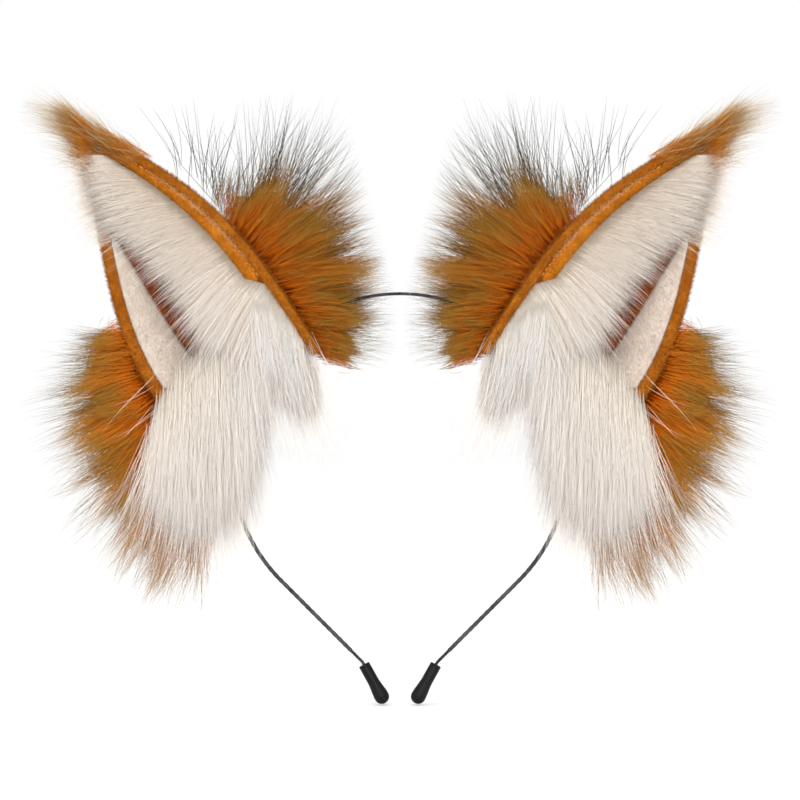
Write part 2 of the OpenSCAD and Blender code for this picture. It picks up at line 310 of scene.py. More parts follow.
def strand_uv(lane, knots):
    """Bake coordinates: each strand's lane is its V, and U runs from its root to its tip."""
    rings = knots - 1
    ring, side = np.meshgrid(np.arange(rings - 1), np.arange(SIDES), indexing="ij")
    u0, u1 = ring / rings, (ring + 1) / rings
    v0, v1 = side * UV_STEP, (side + 1) * UV_STEP
    one = np.stack([u0, v0, u0, v1, u1, v1, u1, v0], -1).reshape(1, -1, 4, 2)
    lanes = np.zeros((len(lane), 1, 1, 2))
    lanes[:, 0, 0, 1] = lane
    k = np.arange(SIDES)
    last = np.full(SIDES, (rings - 1) / rings)
    tip = np.stack([last, k * UV_STEP, last, (k + 1) * UV_STEP, np.ones(SIDES), (k + 0.5) * UV_STEP], -1)
    root = np.array([[[0, 0], [0.01, UV_STEP], [0, 2 * UV_STEP]]])
    quads = (lanes + one).reshape(-1, 4, 2)
    tris = (lanes + np.concatenate([tip.reshape(-1, 3, 2), root])[None]).reshape(-1, 3, 2)
    return [quads, tris]


def strands(name, curves, radius, lane, finish, replaces=()):
    """Closed tapering strands along curves, an array of strands by knots by 3."""
    count, knots = curves.shape[:2]
    way = unit(np.gradient(curves, axis=1))
    side = unit(np.cross(way, np.array([0.3, 1, 0.2])))
    over = np.cross(way, side)
    share = np.linspace(0, 1, knots)[:-1]
    width = radius[:, None] * (np.minimum(0.4 + 3 * share, 1) * (0.2 + 0.8 * (1 - share ** 1.6)))[None]
    out = circle(SIDES, side[:, :-1], over[:, :-1])
    rings = curves[:, :-1, None] + width[..., None, None] * out
    points = np.concatenate([rings.reshape(count, -1, 3), curves[:, -1:]], 1).reshape(-1, 3)
    uv = strand_uv(np.clip(lane, 0, 1 - SIDES * UV_STEP), knots)
    two_sides(name, (points, *strand_faces(count, knots)), finish, ["side"], replaces, uv)


def grow(rng, root, start, end, length, knots, locks=0, pull=0.8, spread=0.15, wave=0.02, uneven=0.0):
    """Curves that leave root along start and turn to end. Strands lean on the guide of the nearest
    lock, and uneven is how much longer or shorter one lock is than another."""
    count = len(root)
    s = np.linspace(0, 1, knots)

    def along(which, share):
        run = length[which][:, None, None]
        return root[which][:, None] + run * (
            start[which][:, None] * (share - share ** 2 / 2)[..., None]
            + end[which][:, None] * (share ** 2 / 2)[..., None])

    if locks:
        guides = rng.choice(count, locks, replace=False)
        gap = np.linalg.norm(root[:, None] - root[guides][None], axis=-1)
        gap = gap * rng.uniform(0.75, 1.25, gap.shape)
        nearest = np.argmin(gap, 1)
        guide = guides[nearest]
        length = length * (1 + uneven * rng.uniform(-1, 1, locks))[nearest]
        reach = np.clip(length / length[guide], 0.2, 1.15)
        led = along(guide, s[None] * reach[:, None])
        led = led + spread * (root - root[guide])[:, None]
        hold = pull * rng.uniform(0.55, 1.0, count) * (rng.random(count) > LOOSE_SHARE)
    curves = along(np.arange(count), np.broadcast_to(s, (count, knots)))
    if locks:
        curves = mix(curves, led, (hold[:, None] * s[None] ** 1.3)[..., None])
    drift = unit(rng.normal(size=(count, 3)))[:, None]
    phase, beat = rng.uniform(0, 6.28, (count, 1)), rng.uniform(2.0, 5.0, (count, 1))
    sway = np.sin(phase + beat * s[None]) * s[None]
    return curves + wave * length[:, None, None] * sway[..., None] * drift


def table(rows, t):
    """Reads the columns of rows at t, which is the first column."""
    rows = np.array(rows, float)
    return [np.interp(t, rows[:, 0], rows[:, i]) for i in range(1, rows.shape[1])]


def lean(aim, y):
    """Directions in the front view at the angle aim, turned towards the back by y."""
    way = heading(aim)
    way[..., 1] = y
    return unit(way)


# ---- shader maths ----

def linear(tone):
    """The linear colour of a tone, which is red, green and blue in sRGB from 0 to 255."""
    return tuple(c / 255 / 12.92 if c <= 10 else ((c / 255 + 0.055) / 1.055) ** 2.4 for c in tone) + (1.0,)


class Wire:
    """An output of a node. Arithmetic on it adds Math nodes."""

    def __init__(self, finish, socket):
        self.finish, self.socket = finish, socket

    def math(self, operation, a, b=0.0):
        return self.finish.add("ShaderNodeMath", {"operation": operation}, {0: a, 1: b})["Value"]

    def __add__(self, other):
        return self.math("ADD", self, other)

    def __sub__(self, other):
        return self.math("SUBTRACT", self, other)

    def __rsub__(self, other):
        return self.math("SUBTRACT", other, self)

    def __mul__(self, other):
        return self.math("MULTIPLY", self, other)

    def above(self, limit):
        return self.math("GREATER_THAN", self, limit)

    __radd__ = __add__
    __rmul__ = __mul__


class Finish:
    """A material with one Principled shader. Numbers go on its sockets, and wires are linked to them."""

    def __init__(self, name, **values):
        self.material = bpy.data.materials.new(name)
        self.material.use_nodes = True
        self.tree = self.material.node_tree
        self.shader = self.tree.nodes["Principled BSDF"]
        for key, value in values.items():
            self.shader.inputs[key.replace("_", " ").title().replace("Ior", "IOR")].default_value = value

    def add(self, kind, settings=None, sockets=None):
        node = self.tree.nodes.new(kind)
        for key, value in (settings or {}).items():
            if key == "stops":
                ramp = node.color_ramp
                while len(ramp.elements) < len(value):
                    ramp.elements.new(0.5)
                for element, (place, colour) in zip(ramp.elements, value):
                    element.position, element.color = place, colour
            else:
                setattr(node, key, value)
        for key, value in (sockets or {}).items():
            self.feed(node.inputs[key], value)
        return {out.name: Wire(self, out) for out in reversed(node.outputs) if out.enabled}

    def feed(self, socket, value):
        if isinstance(value, Wire):
            self.tree.links.new(value.socket, socket)
        else:
            socket.default_value = value

    def ramp(self, value, *stops):
        stops = [(place, linear(tone)) for place, tone in stops]
        return self.add("ShaderNodeValToRGB", {"stops": stops}, {"Fac": value})["Color"]

    def blend(self, share, colour, tone):
        """The colour, with a share of one tone mixed in."""
        sockets = {0: share, 6: colour, 7: linear(tone)}
        return self.add("ShaderNodeMix", {"data_type": "RGBA"}, sockets)["Result"]

    def noise(self, place, scale, detail=2.0, roughness=0.5, stretch=None):
        if stretch:
            place = self.add("ShaderNodeMapping", None, {"Vector": place, "Scale": stretch})["Vector"]
        return self.add("ShaderNodeTexNoise", None,
                        {"Vector": place, "Scale": scale, "Detail": detail, "Roughness": roughness})["Fac"]

    def place(self):
        return self.add("ShaderNodeTexCoord")["Object"]

    def lanes(self):
        """U and V of the strands' bake coordinates."""
        uv = self.add("ShaderNodeUVMap", {"uv_map": "OFBake"})["UV"]
        parts = self.add("ShaderNodeSeparateXYZ", None, {"Vector": uv})
        return parts["X"], parts["Y"]

    def bump(self, height, strength, distance):
        return self.add("ShaderNodeBump", None,
                        {"Height": height, "Strength": strength, "Distance": distance})["Normal"]

    def finished(self, **links):
        for key, value in links.items():
            self.feed(self.shader.inputs[key.replace("_", " ").title()], value)
        return self.material


def strand_finish(name, root, middle, tip, shade, stray, roughness=0.5, vary=0.35):
    """Fur: the colour runs from root to tip, some strands lean to the shade and a few to the stray tone."""
    finish = Finish(name, roughness=roughness, specular_ior_level=0.12)
    share, lane = finish.lanes()
    colour = finish.ramp(share, (0.0, root), (0.38, middle), (0.8, tip))
    flat = finish.add("ShaderNodeCombineXYZ", None, {"X": lane * 90.0, "Y": share * 0.6})["Vector"]
    grain = finish.noise(flat, 1.0, 3.0)
    colour = finish.blend((grain - 0.35) * vary * 3.0, colour, shade)
    odd = finish.noise(flat, 2.7, 0.0).above(0.62)
    colour = finish.blend(odd * 0.55, colour, stray)
    return finish.finished(base_color=colour, roughness=grain * 0.25 + (roughness - 0.1))


def plush_finish(name, deep, mid, light):
    """Short pile: soft patches where the nap lies differently, and fine fibre grain."""
    finish = Finish(name, specular_ior_level=0.1, sheen_weight=0.25, sheen_roughness=0.5,
                    sheen_tint=linear(light))
    place = finish.place()
    nap = finish.noise(place, 130.0, 3.0, 0.6)
    fibre = finish.noise(place, 1500.0, 2.0, 0.7, (1.0, 1.0, 0.45))
    tone = nap * 0.65 + fibre * 0.35
    colour = finish.ramp(tone, (0.30, deep), (0.5, mid), (0.72, light))
    height = nap * 0.5 + fibre
    return finish.finished(base_color=colour, roughness=0.98 - fibre * 0.2,
                           normal=finish.bump(height, 0.35, 0.0005))


def felt_finish(name, dark, light):
    finish = Finish(name, specular_ior_level=0.15, sheen_weight=0.3)
    place = finish.place()
    mat = finish.noise(place, 900.0, 5.0, 0.7)
    cloud = finish.noise(place, 70.0, 2.0)
    colour = finish.ramp(mat * 0.7 + cloud * 0.3, (0.3, dark), (0.7, light))
    return finish.finished(base_color=colour, roughness=1.0 - mat * 0.2, normal=finish.bump(mat, 0.7, 0.0003))


def spring_wire_finish():
    """Blackened spring steel: a satin coat with drawn lines, and brighter specks that are partly rubbed wear
    and partly painted glints.
    """
    finish = Finish("spring_wire", metallic=0.4, specular_ior_level=0.35)
    place = finish.place()
    drawn = finish.noise(place, 420.0, 4.0, 0.7)
    specks = finish.noise(place, 2600.0, 2.0)
    # Grey specks: rubbed wear and painted glints.
    glint_and_rub_specks = (specks * drawn).above(0.33)
    coat = finish.ramp(drawn, (0.35, (18, 18, 19)), (0.7, (46, 46, 47)))
    colour = finish.blend(glint_and_rub_specks * 0.5, coat, (110, 110, 110))
    return finish.finished(base_color=colour, roughness=drawn * 0.3 + 0.25,
                           normal=finish.bump(specks, 0.2, 0.00005))


def thread_finish(name, dark, light):
    """Twisted thread: fine fibres along the lay, mottled between a dark and a light tone. On the black thread
    the light tone is partly fibre grain and partly painted highlight.
    """
    finish = Finish(name, specular_ior_level=0.12)
    place = finish.place()
    fibre = finish.noise(place, 2200.0, 3.0, 0.7)
    cloud = finish.noise(place, 160.0, 2.0)
    colour = finish.ramp(fibre * 0.6 + cloud * 0.4, (0.35, dark), (0.68, light))
    return finish.finished(base_color=colour, roughness=0.85 - fibre * 0.25,
                           normal=finish.bump(fibre, 0.8, 0.00015))


def rubber_finish():
    """Moulded rubber: near black, a fine matt skin with handling marks."""
    finish = Finish("black_rubber", specular_ior_level=0.18)
    place = finish.place()
    skin = finish.noise(place, 1800.0, 4.0, 0.6)
    marks = finish.noise(place, 240.0, 3.0, 0.6)
    colour = finish.ramp(marks, (0.35, (5, 5, 6)), (0.7, (16, 16, 17)))
    return finish.finished(base_color=colour, roughness=marks * 0.3 + 0.36,
                           normal=finish.bump(skin, 0.25, 0.00008))


def floor_finish():
    finish = Finish("studio_floor", specular_ior_level=0.1)
    place = finish.place()
    white = finish.ramp(finish.noise(place, 3.0), (0.0, (254, 254, 254)), (1.0, (255, 255, 255)))
    return finish.finished(base_color=white, roughness=0.9)


SPRING_WIRE = spring_wire_finish()
# The black thread's grey light tone is painted highlight on the wrapped wire, mixed in with its fibre grain.
BLACK_THREAD = thread_finish("black_thread", (8, 8, 9), (92, 90, 88))
RUST_THREAD = thread_finish("rust_thread", (176, 96, 24), (222, 150, 76))
BLACK_RUBBER = rubber_finish()
GREY_FELT = felt_finish("grey_felt", (118, 110, 100), (168, 160, 148))
RUST_PLUSH = plush_finish("rust_plush", (150, 80, 8), (186, 108, 18), (212, 138, 40))
# A darker copy of the rust plush for the rims' rolled folds: painted shade where the fold turns away from the
# light.
SHADED_RUST_PLUSH = plush_finish("shaded_rust_plush", (122, 62, 6), (154, 86, 14), (182, 114, 32))
# The lining deep in the cup is orange plush painted dark brown: painted shade.
SHADED_ORANGE_PLUSH = plush_finish("brown_plush", (96, 36, 8), (142, 68, 22), (176, 102, 50))
WHITE_PLUSH = plush_finish("white_plush", (180, 164, 150), (196, 181, 167), (212, 200, 188))
WHITE_FUR = strand_finish(
    "white_fur", (241, 230, 212), (241, 233, 222), (244, 236, 230), (230, 221, 212),
    (232, 226, 221), vary=0.15)
GREY_WHITE_FUR = strand_finish(
    "grey_white_fur", (230, 226, 220), (234, 232, 229), (242, 241, 240), (214, 212, 210),
    (230, 220, 214), vary=0.2)
INNER_FUR = strand_finish(
    "inner_fur", (206, 189, 168), (224, 210, 194), (238, 228, 217), (204, 190, 176),
    (226, 214, 202), vary=0.2)
FOX_FUR = strand_finish("fox_fur", (196, 78, 2), (214, 112, 8), (160, 126, 50), (166, 78, 4), (212, 144, 50))
OLIVE_FUR = strand_finish(
    "olive_fur", (176, 100, 20), (148, 112, 42), (106, 86, 46), (94, 76, 40), (186, 154, 100))
TIP_COAT = strand_finish(
    "tip_coat", (176, 90, 6), (196, 118, 18), (184, 128, 44), (150, 80, 12), (206, 150, 80))
TIP_FUR = strand_finish(
    "tip_fur", (184, 104, 20), (184, 142, 78), (206, 190, 162), (142, 106, 54), (230, 218, 198))
GUARD_FUR = strand_finish(
    "guard_fur", (60, 36, 14), (20, 17, 15), (10, 10, 11), (28, 24, 22), (60, 54, 50), roughness=0.35)
RUST_PILE = strand_finish(
    "rust_pile", (152, 80, 6), (186, 110, 18), (208, 142, 50), (126, 66, 6),
    (226, 166, 84), roughness=0.8, vary=0.8)
# The pile of that darker copy: the same painted shade on the rims' folds.
SHADED_RUST_PILE = strand_finish(
    "shaded_rust_pile", (126, 62, 4), (158, 88, 12), (186, 120, 38), (102, 48, 4),
    (196, 136, 60), roughness=0.8, vary=0.8)
# The lining's pile: the same painted shade, dark brown over the orange.
SHADED_ORANGE_PILE = strand_finish(
    "shaded_orange_pile", (100, 40, 8), (148, 74, 24), (184, 114, 60), (100, 44, 14), (188, 130, 84), roughness=0.8)
WHITE_PILE = strand_finish(
    "white_pile", (184, 168, 154), (198, 183, 169), (213, 201, 188), (184, 168, 154),
    (204, 189, 176), roughness=0.8)
PALE_FRAY = strand_finish(
    "pale_fray", (206, 140, 66), (228, 176, 112), (240, 208, 160), (206, 140, 70),
    (244, 222, 190), roughness=0.8)


# ---- band ----

LEG_END = on_loop(ARC_END) + LEG_LENGTH * heading(LEG_AIM)
LEG_FLEX_ZONE = (on_loop(LEG_FLEX - 7.5), on_loop(LEG_FLEX + 7.5))


def band_route(phi_from, phi_to):
    """Points of the loop one degree apart, and the ways out of it."""
    turns = np.arange(phi_from, phi_to + 0.5, 1)
    return on_loop(turns), heading(turns)


def last_bend(turned):
    """The point of the leg's last bend where it has turned by so many degrees."""
    turned = np.radians(turned)[..., None]
    along, across = np.sin(turned) * heading(LEG_AIM), (1 - np.cos(turned)) * heading(LEG_AIM + 90)
    return LEG_END + BEND_R * (along - across)


def leg_route():
    """The straight leg, its last bend and the stretch that is held in the cap."""
    count = 40
    turned = np.linspace(0, LAST_BEND, 7)
    straight = mix(on_loop(ARC_END), LEG_END, np.linspace(0.02, 0.99, count)[:, None])
    curve = last_bend(turned)
    tail = curve[-1] + CAP_HOLD * heading(LEG_AIM - LAST_BEND)
    across = np.concatenate([np.repeat(heading(LEG_AIM + 90)[None], count, 0), heading(LEG_AIM - turned + 90),
                             heading(LEG_AIM - LAST_BEND + 90)[None]])
    return np.concatenate([straight, curve, tail[None]]), -across


def make_wires():
    """One length of wire in pieces that meet end to end."""
    upper, across = band_route(0, WIRE_JOIN)
    two_sides("upper_wire", loft(tube_rings(upper, across, wire_r, WIRE_SIDES)), SPRING_WIRE,
              ["crown", "side"], ["arc_wire"], blend=(on_loop(2), on_loop(CROWN_FLEX * 2 - 2)))
    lower, across = (np.concatenate(parts) for parts in zip(band_route(WIRE_JOIN, ARC_END), leg_route()))
    two_sides("lower_wire", loft(tube_rings(lower, across, wire_r, WIRE_SIDES)), SPRING_WIRE,
              ["side", "leg"], ["leg_wire"], blend=LEG_FLEX_ZONE)
    for side in ("left", "right"):
        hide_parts("crown_wire")


def make_thread_wrap():
    """Two threads twisted round the wire: each ring is a pair of lobes that turns along the wire."""
    step = 0.25
    sides = 20
    fade_length = 0.8
    turns = np.arange(WRAP_START, ARC_END, math.degrees(step / loop_r))
    down = np.arange(0, WRAP_ON_LEG + 0.01, step)[:, None]
    route = np.concatenate([on_loop(turns), on_loop(ARC_END) + down * heading(LEG_AIM)])
    across = np.concatenate([heading(turns), np.repeat(heading(ARC_END)[None], len(down), 0)])
    around = np.arange(sides) * 2 * np.pi / sides
    travel = np.arange(len(route))[:, None] * step
    lobes = np.abs(np.cos(around[None] - np.pi * travel / THREAD_PITCH))
    fade = np.clip(np.minimum(travel, travel[-1] - travel) / fade_length, 0.15, 1)
    radius = wire_r + (WRAP_R - wire_r) * fade * (0.5 + 0.5 * lobes)
    two_sides("thread_wrap", loft(tube_rings(route, across, radius, sides)), BLACK_THREAD,
              ["side", "leg"], ["arc_wrap", "leg_wrap"], blend=LEG_FLEX_ZONE)


def make_end_caps():
    """A rubber cap: a lipped mouth with a groove below it, and a barrel that flares to a ball."""
    axis = heading(LEG_AIM - LAST_BEND)
    ball_z = CAP_LENGTH - CAP_BALL_R
    flare_z = CAP_LENGTH * 0.4
    flare = [(mix(CAP_R, CAP_BALL_R, (1 - math.cos(t)) / 2), mix(flare_z, ball_z, t / math.pi))
             for t in np.linspace(0, math.pi, 12)]
    ball = [(CAP_BALL_R * math.cos(t), ball_z + CAP_BALL_R * math.sin(t))
            for t in np.linspace(0.08, 1.54, 14)]
    lip = [(wire_r + 0.03, 1.2), (wire_r + 0.05, 0.12), (wire_r + 0.3, 0.0), (CAP_R - 0.35, 0.0),
           (CAP_R - 0.1, 0.1), (CAP_R, 0.35), (CAP_R, 1.0), (CAP_R - 0.08, 1.15), (CAP_R - 0.08, 1.3),
           (CAP_R, 1.45)]
    radius, along = np.array(lip + flare + ball).T[..., None, None]
    out = circle(48, heading(LEG_AIM - LAST_BEND + 90), BACKWARD)
    rings = last_bend(LAST_BEND) + (along + CAP_MOUTH) * axis + radius * out[None]
    two_sides("rubber_cap", loft(rings), BLACK_RUBBER, ["leg"], ["end_cap"])


# ---- plush ears ----

PILE_TUFT = 0.9
PILE_R = 0.055
PILE_ROOT = 0.15
FACING_FRONT = (-2, 0.25)
FACING_IN = (-2, -0.2)
FACING_BACK = (-0.3, 2)


def const(value):
    return lambda v: value + 0 * v


def facing_width(v):
    return INNER_FACING_W * mix(1.4, 0.85, np.clip(v, 0, 1))


def strip_width(v):
    return STRIP_W * (1 - (np.maximum(v, 0) / STRIP_TOP) ** 2)


def plush(name, rings, finish, replaces, pile, density, nap, seed, facing):
    """A strip of plush, and its pile: short strands over it, in tufts that lie one way and share a tone."""
    solid = loft(rings)
    two_sides(name, solid, finish, ["side"], replaces)
    rng = np.random.default_rng(seed)
    place, normal, towards = scatter(rng, *solid[:2], density, facing)
    count = len(place)
    cells, tuft = np.unique(np.floor(place / PILE_TUFT), axis=0, return_inverse=True)
    tuft = tuft.reshape(-1)
    lie = rng.normal(0, 0.36, (len(cells), 3))[tuft]
    tone = rng.random(len(cells))[tuft] + rng.uniform(-0.0015, 0.0015, count)
    start = unit(normal + 0.35 * towards + 0.5 * lie + rng.normal(0, 0.2, (count, 3)))
    end = unit(normal * 0.6 + 0.6 * towards + lie + rng.normal(0, 0.25, (count, 3)))
    length = nap * rng.uniform(0.6, 1.25, count)
    curves = grow(rng, place - PILE_ROOT * normal, start, end, length, 3, wave=0.0)
    strands(f"{name}_pile", curves, np.full(count, PILE_R), tone, pile)


def scatter(rng, points, quads, density, facing):
    """Random points, density to the square millimetre, on quads whose normal's Y is between two bounds.
    Returns the points, their normals and the way to the tip."""
    corner = points[quads]
    cross = np.cross(corner[:, 2] - corner[:, 0], corner[:, 3] - corner[:, 1])
    back = unit(cross)[:, 1]
    chance = np.linalg.norm(cross, axis=1) / 2 * ((back > facing[0]) & (back < facing[1]))
    count = int(chance.sum() * density)
    pick = rng.choice(len(quads), count, p=chance / chance.sum())
    a, b = rng.random((2, count, 1))
    low, high = mix(corner[pick, 0], corner[pick, 1], a), mix(corner[pick, 3], corner[pick, 2], a)
    return mix(low, high, b), unit(cross[pick]), unit(high - low)


def make_ears():
    plush("ear_back", cup_roll(const(-1.0), const(1.0), 0, 0.96, 2.1, 1.9, 70, 90, 14.0),
          RUST_PLUSH, ["ear_shell"], RUST_PILE, 1.1, 2.2, 11, FACING_BACK)
    # The lining deep in the cup is painted dark brown: painted shade on the orange plush.
    plush("ear_lining_plush", cup_roll(const(-0.97), const(0.97), 0.005, 0.93, -0.6, 1.3, 60, 80, 14.0),
          SHADED_ORANGE_PLUSH, ["ear_lining"], SHADED_ORANGE_PILE, 1.0, 1.8, 12, FACING_IN)
    # The rims' folds wear the darker copy of the rust plush and pile: painted shade.
    plush("inner_rim_fold",
          cup_roll(lambda v: from_inner(v, -0.4), lambda v: from_inner(v, INNER_FOLD_W),
                   -0.145, 0.97, -0.9, 4.0, 18, 150, 2.8),
          SHADED_RUST_PLUSH, ["inner_rim"], SHADED_RUST_PILE, 10.0, 1.4, 13, FACING_FRONT)
    plush("inner_rim_facing",
          cup_roll(lambda v: from_inner(v, INNER_FOLD_W - 0.2),
                   lambda v: from_inner(v, INNER_FOLD_W + facing_width(v)),
                   FACING_END, 0.96, -1.4, 3.0, 18, 120, 3.2, end=0.04),
          RUST_PLUSH, ["inner_rim"], RUST_PILE, 11.0, 1.4, 14, FACING_FRONT)
    plush("outer_rim_fold",
          cup_roll(lambda v: from_outer(v, OUTER_RIM_W), lambda v: from_outer(v, -0.4),
                   -0.02, 0.87, -0.9, 4.4, 18, 130, 2.3),
          SHADED_RUST_PLUSH, ["outer_rim"], SHADED_RUST_PILE, 9.0, 1.4, 15, FACING_FRONT)
    plush("white_strip_plush",
          cup_roll(lambda v: from_outer(v, OUTER_RIM_W - 0.5 + strip_width(v)),
                   lambda v: from_outer(v, OUTER_RIM_W - 0.5),
                   0.02, STRIP_TOP - 0.04, -2.2, 2.6, 20, 90, 4.0),
          WHITE_PLUSH, ["white_strip"], WHITE_PILE, 11.0, 0.9, 16, FACING_FRONT)


def make_rim_stitches():
    """Short arched threads in the seam between the inner rim's two strips."""
    knots = 7
    blocks = []
    for i in range(RIM_STITCHES):
        v = mix(FACING_END + 0.02, 0.86, i / (RIM_STITCHES - 1)) + np.linspace(-0.008, 0.008, knots)
        arch = STITCH_RISE * np.sin(np.linspace(0, np.pi, knots))
        path = ear_at(from_inner(v, INNER_FOLD_W - 0.1), v, -3.0 - arch)
        way = unit(np.gradient(path, axis=0))
        side = unit(np.cross(way, BACKWARD))
        blocks.append(loft(path[:, None] + STITCH_R * circle(8, side, np.cross(way, side))))
    size = len(blocks[0][0])
    points = np.concatenate([b[0] for b in blocks])
    faces = [np.concatenate([b[kind] + i * size for i, b in enumerate(blocks)]) for kind in (1, 2)]
    two_sides("seam_thread", (points, *faces), RUST_THREAD, ["side"], ["rim_stitches"])


def make_seam_fray():
    """Pale backing fibres that stand out of the inner rim's seam."""
    rng = np.random.default_rng(17)
    count = 700
    v = mix(0.24, 0.8, rng.beta(2, 2, count))
    root = ear_at(from_inner(v, INNER_FOLD_W + rng.normal(-0.1, 0.25, count)), v, -2.6)
    aim = 35 + rng.normal(0, 55, count)
    way = lean(aim, -1.0 + rng.normal(0, 0.4, count))
    length = rng.uniform(0.9, 2.0, count)
    curves = grow(rng, root, way, lean(aim + rng.normal(0, 40, count), -0.5), length, 4)
    strands("seam_fray", curves, rng.uniform(0.05, 0.08, count), rng.random(count), PALE_FRAY,
            ["rim_stitches"])


# ---- fur ----

TIP_REACH = np.array([5, 0, 3])


def kept_to_side(curves, margin=0.9):
    """Shortens the strands that would reach the other side's fur when the band is spread."""
    gap = curves[..., 0] - margin - math.tan(math.radians(SPREAD_TILT)) * np.maximum(curves[..., 2], 0)
    first, least = gap[:, 0], gap.min(1)
    share = np.where(least < 0, np.clip(first / (first - np.minimum(least, -1e-6)), 0.1, 1), 1)
    return curves[:, :1] + (curves - curves[:, :1]) * share[:, None, None]


def fur(name, rng, root, start, end, length, finish, node, knots=6, thick=(0.07, 0.11), **lie):
    """One coat of fur: its strands replace the CAD tuft of that name. Crown fur is kept to its side."""
    curves = grow(rng, root, start, end, length, knots, **lie)
    if node == "crown_fur":
        curves = kept_to_side(curves)
    count = len(root)
    strands(name, curves, rng.uniform(*thick, count), rng.random(count), finish, [node])


def round_off(aim, across, spread_out, jitter, rng):
    """Directions of a rounded puff: across runs from -1 at its front to 1 at its back."""
    count = len(aim)
    start = lean(aim, across * spread_out + rng.normal(0, jitter, count))
    end = lean(aim + rng.normal(0, 5, count), across * spread_out * 0.55 + rng.normal(0, jitter, count))
    return start, end


def room_to_middle(root, aim, margin, tilt=SPREAD_TILT):
    """How far a strand may reach before it would meet the other side's fur, with the band spread."""
    rise, across = np.cos(np.radians(aim)), np.sin(np.radians(-aim))
    slope = math.tan(math.radians(tilt))
    return (root[:, 0] - margin - slope * root[:, 2]) / np.maximum(across + slope * rise, 0.05)


def make_crown_fur():
    """The puff between the ear and the crown. Rows: place along the inner edge, aim, length."""
    rows = [[0, -112, 12], [0.1, -98, 26], [0.2, -84, 37], [0.3, -66, 41], [0.4, -44, 40], [0.45, -34, 31],
            [0.5, -24, 13], [0.54, -14, 4]]
    for name, seed, count, knots, share, shift, locks in (
            ("crown_fur_under", 21, 6500, 4, 0.66, (-3, 4), 320),
            ("crown_fur_over", 22, 6800, 6, 1.05, (-1, 10), 95)):
        rng = np.random.default_rng(seed)
        t = 0.54 * rng.beta(1.2, 1.45, count)
        aim, length = table(rows, t)
        across = rng.uniform(-1, 1, count)
        step = rng.uniform(*shift, count)
        root = bezier(INNER_EDGE, t) + step[:, None] * heading(aim)
        root[:, 1] = 4 + 7.5 * across
        root[:, 2] += rng.normal(0, 1.7, count)
        room = room_to_middle(root, aim, 2.5)
        length = (length * share - step) * (1 - 0.22 * across ** 2) * rng.uniform(0.7, 1.0, count)
        length = np.clip(length, 3, room)
        aim = aim + rng.normal(0, 7, count)
        start, end = round_off(aim, across, 0.75, 0.1, rng)
        fur(name, rng, root, start, end, length, FOX_FUR, "crown_fur", knots, locks=locks,
            pull=0.97, spread=0.03, uneven=0.42)
    rng = np.random.default_rng(24)
    count = 1000
    t = 0.58 * rng.beta(1.4, 1.3, count)
    aim, length = table(rows, t)
    root = bezier(INNER_EDGE, t) + rng.uniform(0, 8, (count, 1)) * heading(aim)
    root[:, 1] = rng.uniform(-3, 12, count)
    aim = aim + 8 + rng.normal(0, 11, count)
    room = room_to_middle(root, aim, 1.5)
    length = np.clip((length + 9) * rng.uniform(0.7, 1.05, count), 4, room)
    start, end = round_off(aim, rng.normal(0, 0.5, count), 0.5, 0.1, rng)
    fur("crown_wisps", rng, root, start, end, length, OLIVE_FUR, "crown_fur", 6, (0.055, 0.085),
        locks=150, pull=0.8, spread=0.1, uneven=0.2)


def make_guard_hairs():
    """Long black hairs that stand out of the crown puff and from behind the inner rim."""
    rng = np.random.default_rng(23)
    count = 250
    place, spot, tilt = rng.random(count), rng.normal(0, 1, count), rng.normal(0, 1, count)
    groups = [place < 0.62, place < 0.84]
    t = np.select(groups, [0.345 + 0.04 * spot, 0.56 + 0.09 * spot], 0.25 + 0.04 * spot)
    aim = np.select(groups, [-23 + 13 * tilt, -4 + 15 * tilt], -52 + 14 * tilt)
    reach = np.select(groups, [76 - 26 * rng.random(count) ** 1.5, 52 - 38 * rng.random(count) ** 0.7],
                      58 - 24 * rng.random(count))
    root = bezier(INNER_EDGE, t)
    root = root + heading(aim) * rng.uniform(0, 10, (count, 1))
    root[:, 1] = rng.uniform(0, 12, count)
    rise = np.cos(np.radians(aim))
    room = np.where(rise > 0.2, (object_high[2] - 1.5 - root[:, 2]) / np.maximum(rise, 0.2), 60)
    side_room = room_to_middle(root, aim, 2, tilt=10)
    length = np.clip(np.minimum(np.minimum(reach, room), side_room) * rng.uniform(0.84, 1.0, count), 5, 80)
    start = lean(aim + rng.normal(0, 10, count), rng.normal(0.05, 0.14, count))
    end = lean(aim + rng.normal(0, 16, count), rng.normal(0.0, 0.14, count))
    fur("crown_guard_hairs", rng, root, start, end, length, GUARD_FUR, "crown_fur", 8,
        (0.085, 0.16), wave=0.022)


